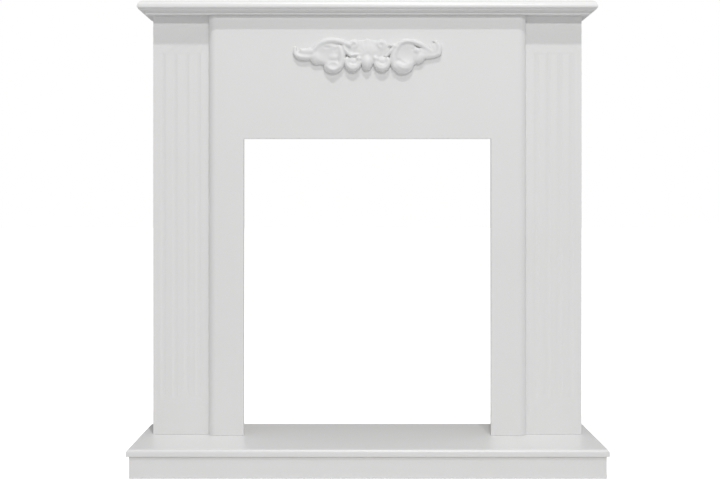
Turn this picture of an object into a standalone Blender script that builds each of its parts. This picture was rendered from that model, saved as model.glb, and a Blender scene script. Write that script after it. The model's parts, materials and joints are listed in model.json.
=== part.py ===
# White fireplace surround of painted board, with a raised hearth, fluted pilasters and a scroll ornament
import math

import bmesh
import bpy
import numpy as np

for old in list(bpy.data.objects):
    bpy.data.objects.remove(old, do_unlink=True)

# every length is in metres, Z is up and the front looks along -Y
board_thickness = 0.016
joint_gap = 0.0003
edge_steps = 12
lower_edge_steps = 6
smooth_angle = math.radians(30)

hearth_width = 0.922
hearth_projection = 0.173
slab_thickness = 0.014
plinth_height = 0.042
plinth_setback = 0.0055
plinth_front_setback = 0.003

body_width = 0.870
body_depth = 0.162
body_height = 0.850
panel_width = 0.644
opening_width = 0.500
opening_height = 0.600
pilaster_inner_edge = 0.302

cornice_thickness = 0.011
cornice_inset = 0.003
cornice_side_inset = 0.002
ogee_run = (0.004, 0.008)
ogee_drop = (0.0027, 0.0027)
ogee_steps = 8

shelf_width = 0.925
shelf_overhang = 0.024
shelf_nose_radius = 0.012
shelf_lower_radius = 0.003
slab_nose_radius = 0.006
slab_lower_radius = 0.0008

flute_count = 4
flute_first = 0.0200
flute_pitch = 0.0238
flute_width = 0.0112
flute_depth = 0.0009
flute_bottom = 0.128
flute_top = 0.832
flute_sides = 36
flute_cap_rings = 6

# planes and levels that the boards share, measured from the middle of the footprint
total_depth = hearth_projection + body_depth
hearth_front = -total_depth / 2
wall_plane = total_depth / 2
panel_face = hearth_front + hearth_projection
pilaster_face = panel_face + board_thickness
shelf_front = panel_face - shelf_overhang
slab_top = plinth_height + slab_thickness
cornice_base = slab_top + body_height
shelf_base = cornice_base + cornice_thickness
body_bottom = slab_top + joint_gap
body_top = cornice_base - joint_gap

# the ornament is drawn in millimetres round its own middle
millimetre = 0.001
ornament_height = 0.8215
ornament_pitch = 1.5
ornament_edge = 3.0
ornament_lean = 0.04
ornament_rim = 1.7
ornament_softness = 1.2
ornament_paint_spread = 1.6
ornament_fullness = 2.1
ornament_half_span = (154.0, 40.5)
ornament_triangles = 6400
far_off = 1e9

board_paint = (0.84, 0.84, 0.827)
ornament_paint = (0.88, 0.88, 0.867)
paint_roughness = 0.42


def paint(name, colour):
    material = bpy.data.materials.new(name)
    material.use_nodes = True
    shader = material.node_tree.nodes["Principled BSDF"]
    shader.inputs["Base Color"].default_value = (*colour, 1.0)
    shader.inputs["Roughness"].default_value = paint_roughness
    return material


def add_object(name, points, faces, colour=board_paint):
    mesh = bpy.data.meshes.new(name)
    mesh.from_pydata([tuple(p) for p in points], [], [tuple(f) for f in faces])
    mesh.validate()
    made = bmesh.new()
    made.from_mesh(mesh)
    bmesh.ops.recalc_face_normals(made, faces=made.faces)
    made.to_mesh(mesh)
    made.free()
    mesh.shade_smooth()
    mesh.set_sharp_from_angle(angle=smooth_angle)
    placed = bpy.data.objects.new(name, mesh)
    bpy.context.scene.collection.objects.link(placed)
    mesh.materials.append(paint(name + "_paint", colour))
    return placed


def add_box(name, x_range, y_range, z_range):
    points = [(x, y, z) for z in z_range for x, y in ring(x_range, y_range)]
    return add_object(name, points, tube_faces(2, 4))


def ring(x_range, y_range):
    (left, right), (front, back) = x_range, y_range
    return [(left, front), (right, front), (right, back), (left, back)]


def tube_faces(rings, sides):
    faces = [tuple(range(sides)), tuple(range((rings - 1) * sides, rings * sides))]
    for level in range(rings - 1):
        for side in range(sides):
            following = (side + 1) % sides
            low, high = level * sides, (level + 1) * sides
            faces.append((low + side, low + following, high + following, high + side))
    return faces


def add_moulded_board(name, half_width, front, profile):
    """The profile lists (side inset, front inset, height); the back edge stays square against the wall."""
    points = []
    for side_inset, front_inset, height in profile:
        reach = half_width - side_inset
        outline = ring((-reach, reach), (front + front_inset, wall_plane))
        points += [(x, y, height) for x, y in outline]
    return add_object(name, points, tube_faces(len(profile), 4))


def nosed_profile(base, thickness, radius, lower_radius):
    """A small round under the edge and a larger one over it."""
    profile = []
    for step in range(lower_edge_steps + 1):
        turn = math.pi / 2 * step / lower_edge_steps
        inset = lower_radius * (1 - math.sin(turn))
        profile.append((inset, inset, base + lower_radius * (1 - math.cos(turn))))
    for step in range(edge_steps + 1):
        turn = math.pi / 2 * step / edge_steps
        inset = radius * (1 - math.cos(turn))
        rise = radius * (math.sin(turn) - 1)
        profile.append((inset, inset, base + thickness + rise))
    return profile


def ogee_profile(base, top):
    """A plain foot, then a hollow that sweeps out into a round under the shelf."""
    round_run, hollow_run = ogee_run
    round_drop, hollow_drop = ogee_drop
    profile = [(round_run + hollow_run, round_run + hollow_run, base)]
    for step in range(ogee_steps + 1):
        turn = math.pi / 2 * step / ogee_steps
        inset = round_run + hollow_run * math.cos(turn)
        profile.append((inset, inset, top - round_drop - hollow_drop * (1 - math.sin(turn))))
    for step in range(1, ogee_steps + 1):
        turn = math.pi / 2 * step / ogee_steps
        inset = round_run * (1 - math.sin(turn))
        profile.append((inset, inset, top - round_drop * math.cos(turn)))
    return profile


def subtract(target, cutter):
    cutter.hide_render = True
    cutter.display_type = "WIRE"
    cut = target.modifiers.new("cut_" + cutter.name, "BOOLEAN")
    cut.operation = "DIFFERENCE"
    cut.solver = "EXACT"
    cut.object = cutter


def add_front_panel():
    # the plan outline is drawn once, with a quarter round at either outer edge, and raised to full height
    outline = []
    for step in range(edge_steps + 1):
        turn = math.pi / 2 * step / edge_steps
        x = panel_width / 2 - board_thickness * (1 - math.sin(turn))
        y = panel_face + board_thickness * (1 - math.cos(turn))
        outline.append((x, y))
    outline = [(-x, y) for x, y in reversed(outline)] + outline
    points = [(x, y, z) for z in (body_bottom, body_top) for x, y in outline]
    panel = add_object("front_panel", points, tube_faces(2, len(outline)))
    reach = opening_width / 2
    sides = (panel_face - board_thickness, pilaster_face + board_thickness)
    heights = (body_bottom - board_thickness, slab_top + opening_height)
    subtract(panel, add_box("opening_cutter", (-reach, reach), sides, heights))


def add_flute_cutter(name, x):
    """A shallow groove with round ends: an upright bar with a half ball at either end."""
    bar_radius = (flute_width**2 / 4 + flute_depth**2) / (2 * flute_depth)
    rings = []
    for end, sign in ((flute_bottom, -1), (flute_top, 1)):
        for step in range(flute_cap_rings):
            turn = math.pi / 2 * step / flute_cap_rings
            centre = end - sign * flute_width / 2
            rise = sign * bar_radius * math.sin(turn)
            rings.append((centre + rise, bar_radius * math.cos(turn)))
    rings.sort()
    y = pilaster_face + joint_gap - (bar_radius - flute_depth)
    points = []
    for height, radius in rings:
        for side in range(flute_sides):
            turn = 2 * math.pi * (side + 0.5) / flute_sides
            points.append((x + radius * math.sin(turn), y + radius * math.cos(turn), height))
    last = (len(rings) - 1) * flute_sides
    faces = tube_faces(len(rings), flute_sides)[2:]
    beyond = bar_radius - flute_width / 2
    points += [(x, y, flute_bottom - beyond), (x, y, flute_top + beyond)]
    for side in range(flute_sides):
        following = (side + 1) % flute_sides
        faces.append((side, following, len(points) - 2))
        faces.append((last + side, last + following, len(points) - 1))
    return add_object(name, points, faces)


def add_pilaster(name, side):
    edges = sorted((side * pilaster_inner_edge, side * body_width / 2))
    face = pilaster_face + joint_gap
    pilaster = add_box(name, edges, (face, face + board_thickness), (body_bottom, body_top))
    for flute in range(flute_count):
        x = side * (body_width / 2 - flute_first - flute * flute_pitch)
        subtract(pilaster, add_flute_cutter(f"{name}_flute_{flute + 1}", x))


def add_side_panel(name, side):
    edges = sorted((side * (body_width / 2 - board_thickness), side * body_width / 2))
    front = pilaster_face + board_thickness + 2 * joint_gap
    add_box(name, edges, (front, wall_plane), (body_bottom, body_top))


def add_plinth():
    reach = hearth_width / 2 - plinth_setback
    inner = reach - board_thickness
    front = hearth_front + plinth_front_setback
    heights = (0.0, plinth_height - joint_gap)
    between = (front + board_thickness + joint_gap, wall_plane - board_thickness - joint_gap)
    add_box("plinth_front", (-reach, reach), (front, front + board_thickness), heights)
    add_box("plinth_back", (-reach, reach), (wall_plane - board_thickness, wall_plane), heights)
    add_box("plinth_left", (-reach, -inner), between, heights)
    add_box("plinth_right", (inner, reach), between, heights)


# The ornament is a height map, x to the right and z up from its middle.
# It joins rounded strokes that follow arcs or curves and domes that fill between them.


def arc_path(centre, radii, angles, steps=20):
    path = []
    for step in range(steps + 1):
        along = step / steps
        radius = radii[0] + (radii[1] - radii[0]) * along
        turn = math.radians(angles[0] + (angles[1] - angles[0]) * along)
        path.append((centre[0] + radius * math.cos(turn), centre[1] + radius * math.sin(turn)))
    return path


def curve_path(ends, steps=16):
    path = []
    for step in range(steps + 1):
        t = step / steps
        weights = ((1 - t) ** 3, 3 * t * (1 - t) ** 2, 3 * t * t * (1 - t), t**3)
        x = sum(weight * end[0] for weight, end in zip(weights, ends))
        z = sum(weight * end[1] for weight, end in zip(weights, ends))
        path.append((x, z))
    return path


def stroke(path, widths, heights):
    return {"path": path, "widths": widths, "heights": heights}


def dome(centre, reach, tilt, height):
    return {"centre": centre, "reach": reach, "tilt": tilt, "height": height}


def hollow(centre, reach, tilt, depth):
    return {"centre": centre, "reach": reach, "tilt": tilt, "depth": depth}


def right_scroll():
    # broad bowl under an arm that arches over it, and the bowl's inner side
    shapes = [dome((77, 3), (27, 27), 0, 7.8), hollow((82, 5), (22, 19), -10, 4.0)]
    arm = curve_path([(57, 8), (63, 41), (95, 36), (131, 9.5)])
    shapes.append(stroke(arm, (4.6, 6.0, 5.6, 4.2), (6.8, 9.0, 7.4, 4.2)))
    inner_side = curve_path([(60, 20), (51, 8), (50, -8), (56, -20)])
    shapes.append(stroke(inner_side, (6.0, 7.4, 7.4), (6.8, 8.0, 8.0)))
    # small curl under the arm, rounded foot beyond it, and the shell lobe with its lip
    shapes.append(hollow((90, 15), (6.5, 3.6), -10, 3.4))
    shapes.append(dome((100, 11), (7.5, 7), 0, 8.4))
    shapes.append(dome((102, -1.5), (14.5, 13.5), 0, 7.8))
    shapes.append(dome((72, -19), (21, 16), 5, 9.6))
    shapes.append(hollow((70, -11), (13, 5), -25, 2.2))
    shapes.append(stroke(arc_path((77, -6), (19, 18), (205, 290)), (2.0, 3.4, 2.0), (7.8, 10.6, 7.8)))
    # arm's end beside the fan, and the rolled edge that runs down from it
    arm_end = curve_path([(62, 18), (57, 23), (51, 22), (44, 22)])
    shapes.append(stroke(arm_end, (4.0, 4.4, 2.6), (6.8, 8.4, 6.4)))
    edge = curve_path([(53, 20), (49, 14), (45, 6), (37, 1)])
    shapes.append(stroke(edge, (3.6, 4.0, 3.2), (7.8, 8.4, 5.4)))
    shapes.append(dome((31, -9), (12, 9), 0, 6.4))
    # tail: low, joined to the arm, with a hook that turns up and back
    tail = curve_path([(108, -1), (122, 2), (134, 0), (144, 6)])
    shapes.append(stroke(tail, (6.0, 5.0, 4.8), (4.8, 4.0, 4.8)))
    hook = curve_path([(133, 32), (143, 29), (149, 18), (143, 6)])
    shapes.append(stroke(hook, (1.4, 4.4, 5.6, 5.4), (1.6, 4.4, 5.0, 4.6)))
    shapes.append(dome((119, 8), (18, 10), -20, 4.6))
    shapes.append(dome((138, 14), (9, 14), 15, 3.6))
    return shapes


def left_scroll():
    shapes = [dome((80, 7), (31, 25), 0, 8.0), hollow((80, 5), (22, 17), 0, 3.2)]
    shapes.append(hollow((81, 17.5), (11, 4), 0, 2.6))
    shapes.append(hollow((67, 11), (4.5, 9), 30, 2.6))
    arm = curve_path([(37, 23.5), (62, 35), (92, 39), (111, 10)])
    shapes.append(stroke(arm, (5.6, 6.4, 6.4, 5.0), (6.4, 8.8, 8.4, 5.6)))
    inner_side = curve_path([(57, 20), (50, 8), (49, -6), (55, -19)])
    shapes.append(stroke(inner_side, (5.0, 7.0, 7.0), (6.8, 7.8, 7.6)))
    # roll across the bowl, rounded foot beyond it, and the shell lobe with its lip
    shapes.append(dome((70, -1), (12, 8), 0, 8.8))
    shapes.append(dome((101, -2.5), (15.5, 13.5), 0, 7.6))
    shapes.append(dome((69, -20), (19.5, 13.5), 0, 8.8))
    shapes.append(hollow((69, -18), (10, 6), 0, 2.2))
    shapes.append(stroke(arc_path((69, -14), (13.5, 13.5), (200, 340)), (2.0, 3.6, 2.0), (7.0, 10.6, 7.0)))
    # rolled edge that runs down from the arm's end
    edge = curve_path([(48, 21), (45, 13), (40, 5), (32, 1.5)])
    shapes.append(stroke(edge, (3.6, 4.4, 3.8), (6.4, 8.4, 7.4)))
    foot = curve_path([(34, 3), (26, 4), (19, 4.5), (11, 4.5)])
    shapes.append(stroke(foot, (3.4, 3.6, 2.8), (7.0, 6.4, 4.0)))
    shapes.append(dome((47, 14), (9, 12), 0, 4.0))
    # tail that turns up in a hook, with a low leaf over it
    tail = curve_path([(108, 0), (126, -3.5), (151, -4), (146, 17)])
    shapes.append(stroke(tail, (5.6, 5.4, 3.6), (5.4, 6.8, 4.4)))
    leaf = curve_path([(104, 17), (112, 11), (122, 10), (133, 12)])
    shapes.append(stroke(leaf, (5.4, 5.4, 5.0), (4.4, 4.0, 5.0)))
    shapes.append(dome((124, 5), (22, 11), -4, 4.8))
    shapes.append(dome((115, 10), (10, 8), 0, 5.6))
    # web that fills the eye of the open scroll on this side
    shapes.append(dome((31, -10), (13, 9), 0, 5.4))
    return shapes


def scroll_half(right):
    shapes = right_scroll() if right else left_scroll()
    # small curl at the fan's corner
    shapes.append(dome((27, 23), (12, 11.5), 0, 2.2))
    shapes.append(stroke(arc_path((27, 23.5), (7.8, 4.2), (-60, 250)), (2.8, 3.4, 3.0), (2.6, 4.2, 4.2)))
    # open scroll under the fan, with a ball at its inner end
    shapes.append(stroke(arc_path((29.5, -11), (12.5, 12.5), (150, 385)), (5.0, 6.8, 5.2), (6.6, 9.8, 8.0)))
    shapes.append(stroke(arc_path((29.5, -9.5), (9, 8), (185, 335)), (1.6, 3.0, 1.8), (6.6, 9.8, 7.4)))
    shapes.append(dome((16.5, -4), (5.6, 5.6), 0, 8.6))
    return shapes


def mirrored(shape):
    flipped = dict(shape)
    if "path" in shape:
        flipped["path"] = [(-x, z) for x, z in shape["path"]]
    else:
        flipped["centre"] = (-shape["centre"][0], shape["centre"][1])
        flipped["tilt"] = -shape["tilt"]
    return flipped


def ornament_shapes():
    shapes = scroll_half(True) + [mirrored(shape) for shape in scroll_half(False)]
    shapes.append(dome((-1, -12.5), (12, 15), 0, 11.4))
    shapes.append(dome((0, 14), (48, 20), 0, 2.4))
    shapes.append(dome((0, 4), (26, 22), 0, 4.4))
    # five petals of the fan spread from its foot
    for spread in range(-60, 61, 30):
        turn = math.radians(90 + spread)
        petal = [(r * math.cos(turn), 2 + r * 0.08 + r * math.sin(turn)) for r in (8, 16, 25)]
        shapes.append(stroke(petal, (3.0, 5.0, 7.0), (3.6, 3.4, 1.8)))
    return shapes


def taper(values, along):
    places = np.linspace(0.0, 1.0, len(values))
    return np.interp(along, places, values)


def swell(spread):
    """Full height in the middle of a shape, falling ever more steeply to nothing at its edge."""
    return np.sqrt(np.clip(1 - spread**ornament_fullness, 0, 1))


def stroke_level(shape, x, z):
    """How far inside the stroke each point lies, and how high the stroke stands there."""
    nearest = np.full(x.shape, far_off)
    width = np.ones(x.shape)
    height = np.zeros(x.shape)
    path = shape["path"]
    for step in range(len(path) - 1):
        (ax, az), (bx, bz) = path[step], path[step + 1]
        run, rise = bx - ax, bz - az
        along = np.clip(((x - ax) * run + (z - az) * rise) / (run * run + rise * rise), 0, 1)
        offset = np.hypot(x - ax - along * run, z - az - along * rise)
        here = taper(shape["widths"], (step + along) / (len(path) - 1))
        closer = offset / here < nearest
        nearest = np.where(closer, offset / here, nearest)
        width = np.where(closer, here, width)
        height = np.where(closer, taper(shape["heights"], (step + along) / (len(path) - 1)), height)
    return (1 - nearest) * width, height * swell(nearest)


def dome_spread(shape, x, z):
    turn = math.radians(shape["tilt"])
    dx, dz = x - shape["centre"][0], z - shape["centre"][1]
    along = dx * math.cos(turn) + dz * math.sin(turn)
    across = dz * math.cos(turn) - dx * math.sin(turn)
    return np.hypot(along / shape["reach"][0], across / shape["reach"][1])


def dome_level(shape, x, z):
    spread = dome_spread(shape, x, z)
    return (1 - spread) * min(shape["reach"]), shape["height"] * swell(spread)


# the shapes blend where they meet, and the hollows are taken out of the sum
def relief(x, z):
    level = np.full(x.shape, -far_off)
    total = np.zeros(x.shape)
    carved = np.zeros(x.shape)
    for shape in ornament_shapes():
        if "depth" in shape:
            sunk = 1 - np.clip(dome_spread(shape, x, z), 0, 1) ** 2
            carved = np.maximum(carved, shape["depth"] * sunk)
            continue
        inside, height = stroke_level(shape, x, z) if "path" in shape else dome_level(shape, x, z)
        level = np.maximum(level, inside)
        total += np.expm1(height / ornament_softness)
    return level, ornament_softness * np.log1p(total) - carved


# heights evened out as thick paint does, without drawing in the bare ground round the ornament
def soften(level, height, pitch):
    reach = math.ceil(2.5 * ornament_paint_spread / pitch)
    weights = np.exp(-0.5 * (np.arange(-reach, reach + 1) * pitch / ornament_paint_spread) ** 2)
    inside = (level > 0).astype(float)
    spreads = []
    for field in (height * inside, inside):
        for axis in (0, 1):
            field = np.apply_along_axis(np.convolve, axis, field, weights, "same")
        spreads.append(field)
    return spreads[0] / np.maximum(spreads[1], 1e-6)


# the front rounds over to the ornament's edge, which is thinner towards the top
def front_height(level, height, z):
    rim = 1 - np.clip(level / ornament_rim, 0, 1)
    return ornament_edge - ornament_lean * z + height * np.sqrt(1 - rim**2)


def cell_outlines(inside):
    """Corner and crossing keys of the part of one grid cell that lies inside, counter-clockwise."""
    flags = [value > 0 for value in inside]
    if flags in ([True, False, True, False], [False, True, False, True]):
        first = flags.index(True)
        return [[("cross", (k - 1) % 4), ("corner", k), ("cross", k)] for k in (first, first + 2)]
    outline = []
    for k in range(4):
        if flags[k]:
            outline.append(("corner", k))
        if flags[k] != flags[(k + 1) % 4]:
            outline.append(("cross", k))
    return [outline] if outline else []


def relief_surface(pitch):
    """Front vertices as (x, z, height) with their polygons: a grid trimmed to the outline."""
    across = np.arange(-ornament_half_span[0], ornament_half_span[0] + pitch, pitch)
    upward = np.arange(-ornament_half_span[1], ornament_half_span[1] + pitch, pitch)
    x, z = np.meshgrid(across, upward)
    level, height = relief(x, z)
    # no crossing comes too near a grid corner, so no sliver is left
    least = 0.12 * pitch
    level = np.where(np.abs(level) < least, np.where(level > 0, least, -least), level)
    front = front_height(level, soften(level, height, pitch), z)
    vertices, numbers, polygons = [], {}, []

    def number_of(key, vertex):
        if key not in numbers:
            numbers[key] = len(vertices)
            vertices.append(vertex)
        return numbers[key]

    for row in range(len(upward) - 1):
        for column in range(len(across) - 1):
            corners = [(row, column), (row, column + 1), (row + 1, column + 1), (row + 1, column)]
            inside = [level[c] for c in corners]
            for outline in cell_outlines(inside):
                polygon = []
                for kind, k in outline:
                    a = corners[k]
                    if kind == "corner":
                        vertex = (x[a], z[a], front[a])
                        polygon.append(number_of(a, vertex))
                        continue
                    b = corners[(k + 1) % 4]
                    a, b = min(a, b), max(a, b)
                    part = level[a] / (level[a] - level[b])
                    across_at = x[a] + part * (x[b] - x[a])
                    up_at = z[a] + part * (z[b] - z[a])
                    vertex = (across_at, up_at, ornament_edge - ornament_lean * up_at)
                    polygon.append(number_of((a, b), vertex))
                polygons.append(polygon)
    return vertices, polygons


def add_ornament():
    front, polygons = relief_surface(ornament_pitch)
    base = panel_face - joint_gap
    drawn = np.array(front) * millimetre
    rises = drawn[:, 1] + ornament_height
    points = list(zip(drawn[:, 0], base - drawn[:, 2], rises))
    points += [(x, base, z) for x, z in zip(drawn[:, 0], rises)]
    count = len(front)
    faces = polygons + [[count + k for k in reversed(polygon)] for polygon in polygons]
    edges = set()
    for polygon in polygons:
        edges.update(zip(polygon, polygon[1:] + polygon[:1]))
    for here, following in sorted(edges - {(b, a) for a, b in edges}):
        faces.append((following, here, count + here, count + following))
    ornament = add_object("carved_ornament", points, faces, ornament_paint)
    triangles = sum(len(face) - 2 for face in faces)
    thin = ornament.modifiers.new("fewer_facets", "DECIMATE")
    thin.decimate_type = "COLLAPSE"
    thin.ratio = ornament_triangles / triangles


add_plinth()
slab_nose = nosed_profile(plinth_height, slab_thickness, slab_nose_radius, slab_lower_radius)
add_moulded_board("hearth_slab", hearth_width / 2, hearth_front, slab_nose)
add_front_panel()
add_pilaster("pilaster_left", -1)
add_pilaster("pilaster_right", 1)
add_side_panel("side_panel_left", -1)
add_side_panel("side_panel_right", 1)

cornice_reach = shelf_width / 2 - cornice_side_inset
ogee = ogee_profile(cornice_base, shelf_base - joint_gap)
add_moulded_board("cornice_board", cornice_reach, shelf_front + cornice_inset, ogee)
shelf_nose = nosed_profile(shelf_base, board_thickness, shelf_nose_radius, shelf_lower_radius)
add_moulded_board("shelf_board", shelf_width / 2, shelf_front, shelf_nose)
add_ornament()
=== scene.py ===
import json
import math

import bpy
import numpy as np
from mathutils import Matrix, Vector

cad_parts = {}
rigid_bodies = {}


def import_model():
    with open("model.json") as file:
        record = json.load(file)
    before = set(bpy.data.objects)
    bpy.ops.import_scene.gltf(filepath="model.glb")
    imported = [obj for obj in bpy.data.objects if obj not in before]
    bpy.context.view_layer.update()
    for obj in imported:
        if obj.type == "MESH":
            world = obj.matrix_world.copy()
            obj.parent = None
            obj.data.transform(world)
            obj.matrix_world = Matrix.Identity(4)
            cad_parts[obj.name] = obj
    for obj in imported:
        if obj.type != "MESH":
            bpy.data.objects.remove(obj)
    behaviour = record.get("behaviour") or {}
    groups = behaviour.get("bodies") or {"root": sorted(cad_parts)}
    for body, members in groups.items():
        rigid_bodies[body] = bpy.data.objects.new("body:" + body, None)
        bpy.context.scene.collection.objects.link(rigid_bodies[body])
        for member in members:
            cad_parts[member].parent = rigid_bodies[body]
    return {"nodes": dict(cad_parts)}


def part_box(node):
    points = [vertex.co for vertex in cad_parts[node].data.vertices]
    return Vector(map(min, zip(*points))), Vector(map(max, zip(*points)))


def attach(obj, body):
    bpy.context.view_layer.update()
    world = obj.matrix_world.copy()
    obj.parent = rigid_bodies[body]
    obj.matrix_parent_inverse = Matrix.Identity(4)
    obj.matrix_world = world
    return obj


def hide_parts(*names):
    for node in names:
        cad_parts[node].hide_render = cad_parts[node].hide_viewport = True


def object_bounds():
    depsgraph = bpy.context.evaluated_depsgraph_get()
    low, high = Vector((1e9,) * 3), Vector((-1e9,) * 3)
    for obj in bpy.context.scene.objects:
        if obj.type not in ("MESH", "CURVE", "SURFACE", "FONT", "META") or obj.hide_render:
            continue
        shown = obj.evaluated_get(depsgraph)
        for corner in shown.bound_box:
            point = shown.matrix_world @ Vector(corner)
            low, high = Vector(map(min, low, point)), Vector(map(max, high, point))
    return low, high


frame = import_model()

scene = bpy.context.scene
nodes = frame["nodes"]
mm = 0.001
for old in list(scene.objects):  # a new file's cube, lamp and camera go
    if old.type in {"MESH", "LIGHT", "CAMERA"} and old.name not in nodes:
        bpy.data.objects.remove(old, do_unlink=True)
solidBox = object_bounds()
print("frame loaded:", len(nodes), "pieces")


def hexToLinear(code):
    channels = []
    for start in (1, 3, 5):
        value = int(code[start:start + 2], 16) / 255
        channels.append(value / 12.92 if value <= 0.04045 else ((value + 0.055) / 1.055) ** 2.4)
    return (*channels, 1.0)


# adds a node, sets its properties and sockets, links the rest, and gives back one output socket
def addNode(tree, kind, settings, links=None, output=0):
    node = tree.nodes.new(kind)
    sockets = {socket.identifier: socket for socket in node.inputs}
    for name, value in settings.items():
        if name in sockets:
            sockets[name].default_value = value
        else:
            setattr(node, name, value)
    for name, source in (links or {}).items():
        tree.links.new(source, sockets[name])
    return node.outputs[output]


satinPaint = {
    "colour": "#F2F2F2",
    "thinner": "#EEEEED",
    "primer": "#DEDBD2",
    "fibre": "#CFC6B2",
    "ior": 1.49,
    "roughness": (0.26, 0.34),
    "primerRoughness": 0.75,
    "cloud": 160.0,        # mm across a patch where the spray lies thicker
    "cloudDetail": 3.0,
    "orangePeel": 6.0,     # mm; the real dimples are 2 mm, which is too fine to show from here
    "peelDetail": 2.0,
    "peelDepth": 0.008,    # mm
    "fibreLength": 9.0,    # mm; real fibres are about 3 mm, which is also too fine
    "fibreDetail": 6.0,
    "fibreRoughness": 0.7,
    "fibreStretch": (1.0, 1.0, 3.0),
    "facing": 0.8,         # cosine above which a face counts as turned to a hidden side
}


# Satin acrylic, sprayed on sanded fibreboard: an even white skin with a soft sheen and a faint
# orange peel. Sides that nobody sees have one thin matt coat of primer that the fibres show through.
def sprayedSatinPaint(name, hiddenSides):
    look = satinPaint
    material = bpy.data.materials.new(name)
    material.use_nodes = True
    tree = material.node_tree
    shader = tree.nodes["Principled BSDF"]
    shader.inputs["IOR"].default_value = look["ior"]
    place = addNode(tree, "ShaderNodeTexCoord", {}, output="Object")
    normal = addNode(tree, "ShaderNodeNewGeometry", {}, output="Normal")

    # how thick the paint lies, its dimples, and the fibres under the primer
    settings = {"Scale": 1 / (look["cloud"] * mm), "Detail": look["cloudDetail"]}
    cloud = addNode(tree, "ShaderNodeTexNoise", settings, {"Vector": place})
    settings = {"Scale": 1 / (look["orangePeel"] * mm), "Detail": look["peelDetail"]}
    peel = addNode(tree, "ShaderNodeTexNoise", settings, {"Vector": place})
    settings = {"Scale": look["fibreStretch"]}
    stretched = addNode(tree, "ShaderNodeMapping", settings, {"Vector": place})
    settings = {
        "Scale": 1 / (look["fibreLength"] * mm),
        "Detail": look["fibreDetail"],
        "Roughness": look["fibreRoughness"],
    }
    fibres = addNode(tree, "ShaderNodeTexNoise", settings, {"Vector": stretched})

    # 1 on the sides that nobody sees
    hidden = None
    for side in hiddenSides:
        settings = {"operation": "DOT_PRODUCT", "Vector_001": side}
        towards = addNode(tree, "ShaderNodeVectorMath", settings, {"Vector": normal}, "Value")
        settings = {"operation": "GREATER_THAN", "Value_001": look["facing"]}
        turned = addNode(tree, "ShaderNodeMath", settings, {"Value": towards})
        if hidden:
            either = {"Value": hidden, "Value_001": turned}
            turned = addNode(tree, "ShaderNodeMath", {"operation": "MAXIMUM"}, either)
        hidden = turned

    shades = []
    for first, second, pattern in (("colour", "thinner", cloud), ("primer", "fibre", fibres)):
        ends = {"A_Color": hexToLinear(look[first]), "B_Color": hexToLinear(look[second])}
        settings = {"data_type": "RGBA", **ends}
        shades.append(addNode(tree, "ShaderNodeMix", settings, {"Factor_Float": pattern}, 2))
    fed = {"Factor_Float": hidden, "A_Color": shades[0], "B_Color": shades[1]}
    colour = addNode(tree, "ShaderNodeMix", {"data_type": "RGBA"}, fed, 2)
    tree.links.new(colour, shader.inputs["Base Color"])

    least, most = look["roughness"]
    settings = {"To Min": least, "To Max": most}
    sheen = addNode(tree, "ShaderNodeMapRange", settings, {"Value": cloud})
    settings = {"data_type": "FLOAT", "B_Float": look["primerRoughness"]}
    roughness = addNode(tree, "ShaderNodeMix", settings, {"Factor_Float": hidden, "A_Float": sheen})
    tree.links.new(roughness, shader.inputs["Roughness"])

    fed = {"Factor_Float": hidden, "A_Float": peel, "B_Float": fibres}
    height = addNode(tree, "ShaderNodeMix", {"data_type": "FLOAT"}, fed)
    settings = {"Distance": look["peelDepth"] * mm}
    bump = addNode(tree, "ShaderNodeBump", settings, {"Height": height})
    tree.links.new(bump, shader.inputs["Normal"])
    return material


castPaint = {
    "colour": "#EEEEEE",
    # painted shade: the second colour is the grey laid into the creases, where shade falls
    "creaseShade": "#CCCCCB",
    "ior": 1.49,
    "roughness": (0.44, 0.56),
    "crease": (0.42, 0.52),  # pointiness deep in a crease, and where a face just begins to stand out
    "grain": 2.4,            # mm; the casting's pores are nearer 0.5 mm, too fine to show from here
    "grainDetail": 4.0,
    "grainDepth": 0.03,      # mm
}


# Cast resin under the same paint, brushed on: it takes the sheen of an eggshell. Its colour holds
# painted shade: greyer in the creases of the scrolls, where shade falls, and plain on the crests.
def brushedPaintWithCreaseShade(name):
    look = castPaint
    material = bpy.data.materials.new(name)
    material.use_nodes = True
    tree = material.node_tree
    shader = tree.nodes["Principled BSDF"]
    shader.inputs["IOR"].default_value = look["ior"]
    place = addNode(tree, "ShaderNodeTexCoord", {}, output="Object")
    crest = addNode(tree, "ShaderNodeNewGeometry", {}, output="Pointiness")
    settings = {"Scale": 1 / (look["grain"] * mm), "Detail": look["grainDetail"]}
    grain = addNode(tree, "ShaderNodeTexNoise", settings, {"Vector": place})

    # painted shade: greyer deep in a crease, plain where a face stands out
    deep, level = look["crease"]
    settings = {"From Min": deep, "From Max": level}
    outOfCreaseShade = addNode(tree, "ShaderNodeMapRange", settings, {"Value": crest})
    ends = {"A_Color": hexToLinear(look["creaseShade"]), "B_Color": hexToLinear(look["colour"])}
    settings = {"data_type": "RGBA", **ends}
    colour = addNode(tree, "ShaderNodeMix", settings, {"Factor_Float": outOfCreaseShade}, 2)
    tree.links.new(colour, shader.inputs["Base Color"])

    least, most = look["roughness"]
    settings = {"To Min": least, "To Max": most}
    roughness = addNode(tree, "ShaderNodeMapRange", settings, {"Value": grain})
    tree.links.new(roughness, shader.inputs["Roughness"])
    settings = {"Distance": look["grainDepth"] * mm}
    bump = addNode(tree, "ShaderNodeBump", settings, {"Height": grain})
    tree.links.new(bump, shader.inputs["Normal"])
    return material


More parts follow.
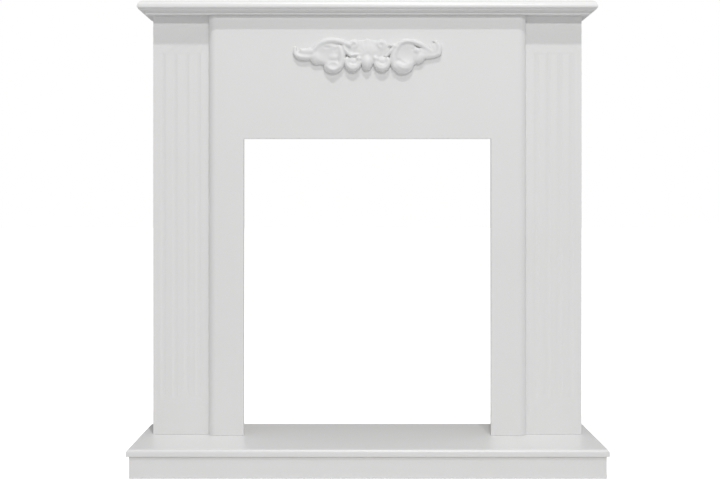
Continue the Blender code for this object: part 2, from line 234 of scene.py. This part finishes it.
# the boards keep their solids; the facets of each curve are shaded as one and every arris is eased
boards = {
    "weld": 0.01,          # mm; points of the solids nearer than this become one
    "curveAngle": 25.0,    # degrees; a sharper edge is left crisp
    "fluteAngle": 12.5,    # degrees, on the pilasters, whose flutes have shallow edges
    "arris": 0.5,          # mm
    "arrisSegments": 2,
    "arrisAngle": 40.0,    # degrees; blunter edges are left as they are
    "back": (0.0, 1.0, 0.0),
    "underside": (0.0, 0.0, -1.0),
    "left": (-1.0, 0.0, 0.0),
    "right": (1.0, 0.0, 0.0),
}


def smoothCurvesGroup(name, sharpAngle):
    group = bpy.data.node_groups.new(name, "GeometryNodeTree")
    group.interface.new_socket("Geometry", in_out="INPUT", socket_type="NodeSocketGeometry")
    group.interface.new_socket("Geometry", in_out="OUTPUT", socket_type="NodeSocketGeometry")
    mesh = addNode(group, "NodeGroupInput", {})
    settings = {"Distance": boards["weld"] * mm}
    welded = addNode(group, "GeometryNodeMergeByDistance", settings, {"Geometry": mesh})
    angle = addNode(group, "GeometryNodeInputMeshEdgeAngle", {})
    settings = {"operation": "GREATER_THAN", "B": math.radians(sharpAngle)}
    sharp = addNode(group, "FunctionNodeCompare", settings, {"A": angle})
    settings = {"mode": "SHARPNESS", "Remove Custom": True, "Face Sharpness": False}
    fed = {"Mesh": welded, "Edge Sharpness": sharp}
    shaded = addNode(group, "GeometryNodeSetMeshNormal", settings, fed)
    groupOutput = group.nodes.new("NodeGroupOutput")
    group.links.new(shaded, groupOutput.inputs[0])
    return group


smoothCurves = smoothCurvesGroup("smoothCurves", boards["curveAngle"])
smoothFlutes = smoothCurvesGroup("smoothFlutes", boards["fluteAngle"])
back = boards["back"]
boardFinish = sprayedSatinPaint("sprayedSatinPaintOnFibreboard", [back])
slabFinish = sprayedSatinPaint("sprayedSatinPaintOnSlab", [back, boards["underside"]])
leftFinish = sprayedSatinPaint("sprayedSatinPaintOnLeftBoards", [back, boards["right"]])
rightFinish = sprayedSatinPaint("sprayedSatinPaintOnRightBoards", [back, boards["left"]])
finishes = {
    "hearth_slab": slabFinish,
    "pilaster_left": leftFinish,
    "side_panel_left": leftFinish,
    "plinth_left": leftFinish,
    "pilaster_right": rightFinish,
    "side_panel_right": rightFinish,
    "plinth_right": rightFinish,
}
for name, board in nodes.items():
    if name == "carved_ornament":
        continue
    board.data.materials.clear()
    board.data.materials.append(finishes.get(name, boardFinish))
    smooth = board.modifiers.new("smoothCurves", "NODES")
    smooth.node_group = smoothFlutes if name.startswith("pilaster") else smoothCurves
    eased = board.modifiers.new("easedArris", "BEVEL")
    eased.width = boards["arris"] * mm
    eased.segments = boards["arrisSegments"]
    eased.limit_method = "ANGLE"
    eased.angle_limit = math.radians(boards["arrisAngle"])
    eased.harden_normals = True
print("boards painted:", len(nodes) - 1)


# the ornament is drawn in millimetres round its own middle, x to the right and z up
ornament = {
    "pitch": 0.6,              # between the points of its grid
    "halfSpan": (154.0, 40.5),
    "edge": 3.0,               # thickness at the outline, halfway up
    "lean": 0.04,              # how much thinner the edge gets with each millimetre upwards
    "rim": 1.7,                # width over which the front rounds over to the edge
    "fullness": 2.1,           # 2 is a round crest, and more is a flatter one
    "softness": 1.2,           # how widely two shapes blend where they meet
    "paintSpread": 1.6,        # how far the paint evens out the relief
    "spreadReach": 2.5,        # times that spread, beyond which the paint no longer counts
    "arcSteps": 24,
    "curveSteps": 20,
    "cornerRoom": 0.12,        # share of the pitch that the outline keeps from the grid's points
    "creaseAngle": 55.0,       # degrees; sharper edges stay crisp
    "farOff": 1e9,
    "tiny": 1e-6,              # keeps a division off nought where no ornament is near
}
# five petals in the middle of the ornament: directions in degrees from straight up, and radii
# from the fan's foot
fan = {
    "spreads": (-60, -30, 0, 30, 60),
    "radii": (8, 16, 25),
    "foot": 2.0,
    "rise": 0.08,
    "widths": (3.0, 5.0, 7.0),
    "heights": (3.6, 3.4, 1.8),
}


def arcPath(centre, radii, angles):
    path, steps = [], ornament["arcSteps"]
    for step in range(steps + 1):
        along = step / steps
        radius = radii[0] + (radii[1] - radii[0]) * along
        turn = math.radians(angles[0] + (angles[1] - angles[0]) * along)
        path.append((centre[0] + radius * math.cos(turn), centre[1] + radius * math.sin(turn)))
    return path


def curvePath(ends):
    path, steps = [], ornament["curveSteps"]
    for step in range(steps + 1):
        t = step / steps
        weights = ((1 - t) ** 3, 3 * t * (1 - t) ** 2, 3 * t * t * (1 - t), t**3)
        x = sum(weight * end[0] for weight, end in zip(weights, ends))
        z = sum(weight * end[1] for weight, end in zip(weights, ends))
        path.append((x, z))
    return path


def stroke(path, widths, heights):
    return {"path": path, "widths": widths, "heights": heights}


def dome(centre, reach, tilt, height):
    return {"centre": centre, "reach": reach, "tilt": tilt, "height": height}


def hollow(centre, reach, tilt, depth):
    return {"centre": centre, "reach": reach, "tilt": tilt, "depth": depth}


def rightScroll():
    # broad bowl under an arm that arches over it, and the bowl's inner side
    shapes = [dome((77, 3), (27, 27), 0, 7.8), hollow((82, 5), (22, 19), -10, 4.0)]
    arm = curvePath([(57, 8), (63, 41), (95, 36), (131, 9.5)])
    shapes.append(stroke(arm, (4.6, 6.0, 5.6, 4.2), (6.8, 9.0, 7.4, 4.2)))
    innerSide = curvePath([(60, 20), (51, 8), (50, -8), (56, -20)])
    shapes.append(stroke(innerSide, (6.0, 7.4, 7.4), (6.8, 8.0, 8.0)))
    # small curl under the arm, rounded foot beyond it, and the shell lobe with its lip
    shapes.append(hollow((90, 15), (6.5, 3.6), -10, 3.4))
    shapes.append(dome((100, 11), (7.5, 7), 0, 8.4))
    shapes.append(dome((102, -1.5), (14.5, 13.5), 0, 7.8))
    shapes.append(dome((72, -19), (21, 16), 5, 9.6))
    shapes.append(hollow((70, -11), (13, 5), -25, 2.2))
    lip = arcPath((77, -6), (19, 18), (205, 290))
    shapes.append(stroke(lip, (2.0, 3.4, 2.0), (7.8, 10.6, 7.8)))
    # arm's end beside the fan, and the rolled edge that runs down from it
    armEnd = curvePath([(62, 18), (57, 23), (51, 22), (44, 22)])
    shapes.append(stroke(armEnd, (4.0, 4.4, 2.6), (6.8, 8.4, 6.4)))
    edge = curvePath([(53, 20), (49, 14), (45, 6), (37, 1)])
    shapes.append(stroke(edge, (3.6, 4.0, 3.2), (7.8, 8.4, 5.4)))
    shapes.append(dome((31, -9), (12, 9), 0, 6.4))
    # tail: low, joined to the arm, with a hook that turns up and back
    tail = curvePath([(108, -1), (122, 2), (134, 0), (144, 6)])
    shapes.append(stroke(tail, (6.0, 5.0, 4.8), (4.8, 4.0, 4.8)))
    hook = curvePath([(133, 32), (143, 29), (149, 18), (143, 6)])
    shapes.append(stroke(hook, (1.4, 4.4, 5.6, 5.4), (1.6, 4.4, 5.0, 4.6)))
    shapes.append(dome((119, 8), (18, 10), -20, 4.6))
    shapes.append(dome((138, 14), (9, 14), 15, 3.6))
    return shapes


# drawn on the right like the other one, and mirrored later
def leftScroll():
    # broad bowl with its hollows under a flatter arm, and the bowl's inner side
    shapes = [dome((80, 7), (31, 25), 0, 8.0), hollow((80, 5), (22, 17), 0, 3.2)]
    shapes.append(hollow((81, 17.5), (11, 4), 0, 2.6))
    shapes.append(hollow((67, 11), (4.5, 9), 30, 2.6))
    arm = curvePath([(37, 23.5), (62, 35), (92, 39), (111, 10)])
    shapes.append(stroke(arm, (5.6, 6.4, 6.4, 5.0), (6.4, 8.8, 8.4, 5.6)))
    innerSide = curvePath([(57, 20), (50, 8), (49, -6), (55, -19)])
    shapes.append(stroke(innerSide, (5.0, 7.0, 7.0), (6.8, 7.8, 7.6)))
    # roll across the bowl, rounded foot beyond it, and the shell lobe with its lip
    shapes.append(dome((70, -1), (12, 8), 0, 8.8))
    shapes.append(dome((101, -2.5), (15.5, 13.5), 0, 7.6))
    shapes.append(dome((69, -20), (19.5, 13.5), 0, 8.8))
    shapes.append(hollow((69, -18), (10, 6), 0, 2.2))
    lip = arcPath((69, -14), (13.5, 13.5), (200, 340))
    shapes.append(stroke(lip, (2.0, 3.6, 2.0), (7.0, 10.6, 7.0)))
    # rolled edge that runs down from the arm's end
    edge = curvePath([(48, 21), (45, 13), (40, 5), (32, 1.5)])
    shapes.append(stroke(edge, (3.6, 4.4, 3.8), (6.4, 8.4, 7.4)))
    foot = curvePath([(34, 3), (26, 4), (19, 4.5), (11, 4.5)])
    shapes.append(stroke(foot, (3.4, 3.6, 2.8), (7.0, 6.4, 4.0)))
    shapes.append(dome((47, 14), (9, 12), 0, 4.0))
    # tail that turns up in a hook, with a low leaf over it
    tail = curvePath([(108, 0), (126, -3.5), (151, -4), (146, 17)])
    shapes.append(stroke(tail, (5.6, 5.4, 3.6), (5.4, 6.8, 4.4)))
    leaf = curvePath([(104, 17), (112, 11), (122, 10), (133, 12)])
    shapes.append(stroke(leaf, (5.4, 5.4, 5.0), (4.4, 4.0, 5.0)))
    shapes.append(dome((124, 5), (22, 11), -4, 4.8))
    shapes.append(dome((115, 10), (10, 8), 0, 5.6))
    # web that fills the eye of the open scroll on this side
    shapes.append(dome((31, -10), (13, 9), 0, 5.4))
    return shapes


# one side's own scroll with the forms that are alike on both sides
def scrollHalf(shapes):
    # small curl at the fan's corner
    shapes.append(dome((27, 23), (12, 11.5), 0, 2.2))
    curl = arcPath((27, 23.5), (7.8, 4.2), (-60, 250))
    shapes.append(stroke(curl, (2.8, 3.4, 3.0), (2.6, 4.2, 4.2)))
    # open scroll under the fan, with a ridge inside it and a ball at its inner end
    scroll = arcPath((29.5, -11), (12.5, 12.5), (150, 385))
    shapes.append(stroke(scroll, (5.0, 6.8, 5.2), (6.6, 9.8, 8.0)))
    ridge = arcPath((29.5, -9.5), (9, 8), (185, 335))
    shapes.append(stroke(ridge, (1.6, 3.0, 1.8), (6.6, 9.8, 7.4)))
    shapes.append(dome((16.5, -4), (5.6, 5.6), 0, 8.6))
    return shapes


def mirrored(shape):
    flipped = dict(shape)
    if "path" in shape:
        flipped["path"] = [(-x, z) for x, z in shape["path"]]
    else:
        flipped["centre"] = (-shape["centre"][0], shape["centre"][1])
        flipped["tilt"] = -shape["tilt"]
    return flipped


def ornamentShapes():
    shapes = scrollHalf(rightScroll()) + [mirrored(shape) for shape in scrollHalf(leftScroll())]
    # drop in the middle, and the low ground that carries the fan
    shapes.append(dome((-1, -12.5), (12, 15), 0, 11.4))
    shapes.append(dome((0, 14), (48, 20), 0, 2.4))
    shapes.append(dome((0, 4), (26, 22), 0, 4.4))
    for spread in fan["spreads"]:
        turn = math.radians(90 + spread)
        petal = []
        for radius in fan["radii"]:
            up = fan["foot"] + radius * fan["rise"] + radius * math.sin(turn)
            petal.append((radius * math.cos(turn), up))
        shapes.append(stroke(petal, fan["widths"], fan["heights"]))
    return shapes


def taper(values, along):
    return np.interp(along, np.linspace(0.0, 1.0, len(values)), values)


# full height in the middle of a shape, falling ever more steeply to nothing at its edge
def swell(spread):
    return np.sqrt(np.clip(1 - spread**ornament["fullness"], 0, 1))


# how far inside a stroke each point lies, and how high the stroke stands there
def strokeLevel(shape, x, z):
    nearest = np.full(x.shape, ornament["farOff"])
    width = np.ones(x.shape)
    height = np.zeros(x.shape)
    path = shape["path"]
    for step in range(len(path) - 1):
        (ax, az), (bx, bz) = path[step], path[step + 1]
        run, rise = bx - ax, bz - az
        along = np.clip(((x - ax) * run + (z - az) * rise) / (run * run + rise * rise), 0, 1)
        offset = np.hypot(x - ax - along * run, z - az - along * rise)
        reached = (step + along) / (len(path) - 1)
        here = taper(shape["widths"], reached)
        closer = offset / here < nearest
        nearest = np.where(closer, offset / here, nearest)
        width = np.where(closer, here, width)
        height = np.where(closer, taper(shape["heights"], reached), height)
    return (1 - nearest) * width, height * swell(nearest)


def domeSpread(shape, x, z):
    turn = math.radians(shape["tilt"])
    dx, dz = x - shape["centre"][0], z - shape["centre"][1]
    along = dx * math.cos(turn) + dz * math.sin(turn)
    across = dz * math.cos(turn) - dx * math.sin(turn)
    return np.hypot(along / shape["reach"][0], across / shape["reach"][1])


def domeLevel(shape, x, z):
    spread = domeSpread(shape, x, z)
    return (1 - spread) * min(shape["reach"]), shape["height"] * swell(spread)


# the shapes blend where they meet, and the hollows are taken out of the sum
def relief(x, z):
    level = np.full(x.shape, -ornament["farOff"])
    total = np.zeros(x.shape)
    carved = np.zeros(x.shape)
    for shape in ornamentShapes():
        if "depth" in shape:
            sunk = 1 - np.clip(domeSpread(shape, x, z), 0, 1) ** 2
            carved = np.maximum(carved, shape["depth"] * sunk)
            continue
        inside, height = strokeLevel(shape, x, z) if "path" in shape else domeLevel(shape, x, z)
        level = np.maximum(level, inside)
        total += np.expm1(height / ornament["softness"])
    return level, ornament["softness"] * np.log1p(total) - carved


# heights evened out as thick paint does, without drawing in the bare ground round the ornament
def soften(level, height, pitch):
    spread = ornament["paintSpread"]
    reach = math.ceil(ornament["spreadReach"] * spread / pitch)
    weights = np.exp(-0.5 * (np.arange(-reach, reach + 1) * pitch / spread) ** 2)
    inside = (level > 0).astype(float)
    spreads = []
    for field in (height * inside, inside):
        for axis in (0, 1):
            field = np.apply_along_axis(np.convolve, axis, field, weights, "same")
        spreads.append(field)
    return spreads[0] / np.maximum(spreads[1], ornament["tiny"])


# the ornament's edge is thinner towards the top
def edgeHeight(z):
    return ornament["edge"] - ornament["lean"] * z


# the front rounds over to the edge
def frontHeight(level, height, z):
    rim = 1 - np.clip(level / ornament["rim"], 0, 1)
    return edgeHeight(z) + height * np.sqrt(1 - rim**2)


# the part of one grid cell that lies inside, as corners and crossings in turn
def cellOutlines(inside):
    flags = [value > 0 for value in inside]
    if flags in ([True, False, True, False], [False, True, False, True]):
        first = flags.index(True)
        return [[("cross", (k - 1) % 4), ("corner", k), ("cross", k)] for k in (first, first + 2)]
    outline = []
    for k in range(4):
        if flags[k]:
            outline.append(("corner", k))
        if flags[k] != flags[(k + 1) % 4]:
            outline.append(("cross", k))
    return [outline] if outline else []


# a fine grid trimmed to the ornament's outline: points as (x, z, height) and polygons
def trimmedGrid():
    pitch = ornament["pitch"]
    spans = [np.arange(-half, half + pitch, pitch) for half in ornament["halfSpan"]]
    x, z = np.meshgrid(*spans)
    level, height = relief(x, z)
    least = ornament["cornerRoom"] * pitch  # so no sliver is left
    level = np.where(np.abs(level) < least, np.where(level > 0, least, -least), level)
    front = frontHeight(level, soften(level, height, pitch), z)
    points, numbers, polygons = [], {}, []

    def numberOf(key, point):
        if key not in numbers:
            numbers[key] = len(points)
            points.append(point)
        return numbers[key]

    for row in range(x.shape[0] - 1):
        for column in range(x.shape[1] - 1):
            corners = [(row, column), (row, column + 1), (row + 1, column + 1), (row + 1, column)]
            for outline in cellOutlines([level[corner] for corner in corners]):
                polygon = []
                for kind, k in outline:
                    a = corners[k]
                    if kind == "corner":
                        polygon.append(numberOf(a, (x[a], z[a], front[a])))
                        continue
                    b = corners[(k + 1) % 4]
                    a, b = min(a, b), max(a, b)
                    part = level[a] / (level[a] - level[b])
                    acrossAt = x[a] + part * (x[b] - x[a])
                    upAt = z[a] + part * (z[b] - z[a])
                    polygon.append(numberOf((a, b), (acrossAt, upAt, edgeHeight(upAt))))
                polygons.append(polygon)
    return points, polygons


# the front, a flat foot behind it on the panel, and the narrow band between them
def castOrnament():
    points, polygons = trimmedGrid()
    drawn = np.array(points)
    low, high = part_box("carved_ornament")
    middle = (drawn.min(0) + drawn.max(0)) / 2
    x = (low.x + high.x) / 2 + (drawn[:, 0] - middle[0]) * mm
    z = (low.z + high.z) / 2 + (drawn[:, 1] - middle[1]) * mm
    front = np.column_stack((x, high.y - drawn[:, 2] * mm, z))
    foot = np.column_stack((x, np.full(len(x), high.y), z))
    count = len(drawn)
    edges = set()
    for polygon in polygons:
        edges.update(zip(polygon, polygon[1:] + polygon[:1]))
    faces = polygons + [[count + k for k in reversed(polygon)] for polygon in polygons]
    for a, b in sorted(edges - {(b, a) for a, b in edges}):
        faces.append((b, a, count + a, count + b))
    mesh = bpy.data.meshes.new("castOrnament")
    mesh.from_pydata(np.vstack((front, foot)).tolist(), [], faces)
    mesh.validate()
    mesh.shade_smooth()
    mesh.set_sharp_from_angle(angle=math.radians(ornament["creaseAngle"]))
    cast = bpy.data.objects.new("castOrnament", mesh)
    scene.collection.objects.link(cast)
    mesh.materials.append(brushedPaintWithCreaseShade("brushedPaintWithCreaseShade"))
    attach(cast, "root")
    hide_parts("carved_ornament")
    print("ornament cast:", len(faces), "faces")


castOrnament()

# the view is straight on, from just over half the height
view = {
    "distance": 3.0,                # m from the front panel's face
    "height": 0.522,                # m
    "aside": -0.015,                # m
    "tilt": 90.0,                   # degrees; level
    "millimetresPerPixel": 2.0202,  # at the front panel's face
    "pixels": (720, 480),
    "horizonPixel": 205.0,          # rows from the top to the camera's own height
    "sensor": 36.0,                 # mm
}
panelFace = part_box("front_panel")[0].y
lens = bpy.data.cameras.new("camera")
lens.sensor_width = view["sensor"]
lens.lens = view["distance"] / mm / view["millimetresPerPixel"] * view["sensor"] / view["pixels"][0]
lens.shift_y = (view["horizonPixel"] - view["pixels"][1] / 2) / view["pixels"][0]
camera = bpy.data.objects.new("camera", lens)
camera.location = (view["aside"], panelFace - view["distance"], view["height"])
camera.rotation_euler = (math.radians(view["tilt"]), 0.0, 0.0)
scene.collection.objects.link(camera)
scene.camera = camera

# a high lamp and a lower one, both small for a crisp shadow, and a softbox overhead; azimuths count
# from straight in front to the right, all angles are in degrees, and lengths in metres
lamps = {
    "highLamp": {"azimuth": 3.0, "elevation": 62.7, "distance": 5.0, "size": 0.18, "watts": 66.0},
    "lowLamp": {"azimuth": 8.0, "elevation": 35.4, "distance": 5.0, "size": 0.18, "watts": 56.0},
    "softbox": {"azimuth": 12.0, "elevation": 78.0, "distance": 3.0, "size": 2.0, "watts": 9.0},
}
target = Vector((0.0, panelFace, (solidBox[0].z + solidBox[1].z) / 2))
for name, lamp in lamps.items():
    azimuth, elevation = math.radians(lamp["azimuth"]), math.radians(lamp["elevation"])
    aside, up = math.sin(azimuth) * math.cos(elevation), math.sin(elevation)
    towards = Vector((aside, -math.cos(azimuth) * math.cos(elevation), up))
    light = bpy.data.lights.new(name, "AREA")
    light.shape = "DISK"
    light.size = lamp["size"]
    light.energy = lamp["watts"]
    placed = bpy.data.objects.new(name, light)
    placed.location = target + towards * lamp["distance"]
    placed.rotation_euler = towards.to_track_quat("Z", "Y").to_euler()
    scene.collection.objects.link(placed)

# a plain white room: dim soft light from all round, seen as white, and a pale matt floor
room = {
    "white": "#FFFFFF",
    "softLight": 0.35,         # what the walls shine on the object
    "backdrop": 1.0,           # how bright they look themselves
    "side": 60.0,              # m
    "floorDrop": 0.5,          # mm under the plinth, so the two faces never coincide
    "floorColour": "#E4E4E4",
    "floorRoughness": 0.9,
    "floorGlow": 0.9,          # brings the floor up to the backdrop's white
}


# one value for what is seen directly, another for the light that reaches the object
def seenOrShining(tree, shining, seen):
    direct = addNode(tree, "ShaderNodeLightPath", {}, output="Is Camera Ray")
    settings = {"To Min": shining, "To Max": seen}
    return addNode(tree, "ShaderNodeMapRange", settings, {"Value": direct})


world = bpy.data.worlds.new("whiteRoom")
world.use_nodes = True
scene.world = world
background = world.node_tree.nodes["Background"]
background.inputs["Color"].default_value = hexToLinear(room["white"])
strength = seenOrShining(world.node_tree, room["softLight"], room["backdrop"])
world.node_tree.links.new(strength, background.inputs["Strength"])

floorPlace = (0.0, 0.0, -room["floorDrop"] * mm)
bpy.ops.mesh.primitive_plane_add(size=room["side"], location=floorPlace)
paleFloor = bpy.context.object
paleFloor.name = "paleFloor"
floorPaint = bpy.data.materials.new("mattPaleFloorPaint")
floorPaint.use_nodes = True
floorShader = floorPaint.node_tree.nodes["Principled BSDF"]
floorShader.inputs["Base Color"].default_value = hexToLinear(room["floorColour"])
floorShader.inputs["Roughness"].default_value = room["floorRoughness"]
floorShader.inputs["Emission Color"].default_value = hexToLinear(room["white"])
glow = seenOrShining(floorPaint.node_tree, 0.0, room["floorGlow"])
floorPaint.node_tree.links.new(glow, floorShader.inputs["Emission Strength"])
paleFloor.data.materials.append(floorPaint)
scene.view_settings.view_transform = "Standard"
print("camera, lamps and floor placed")
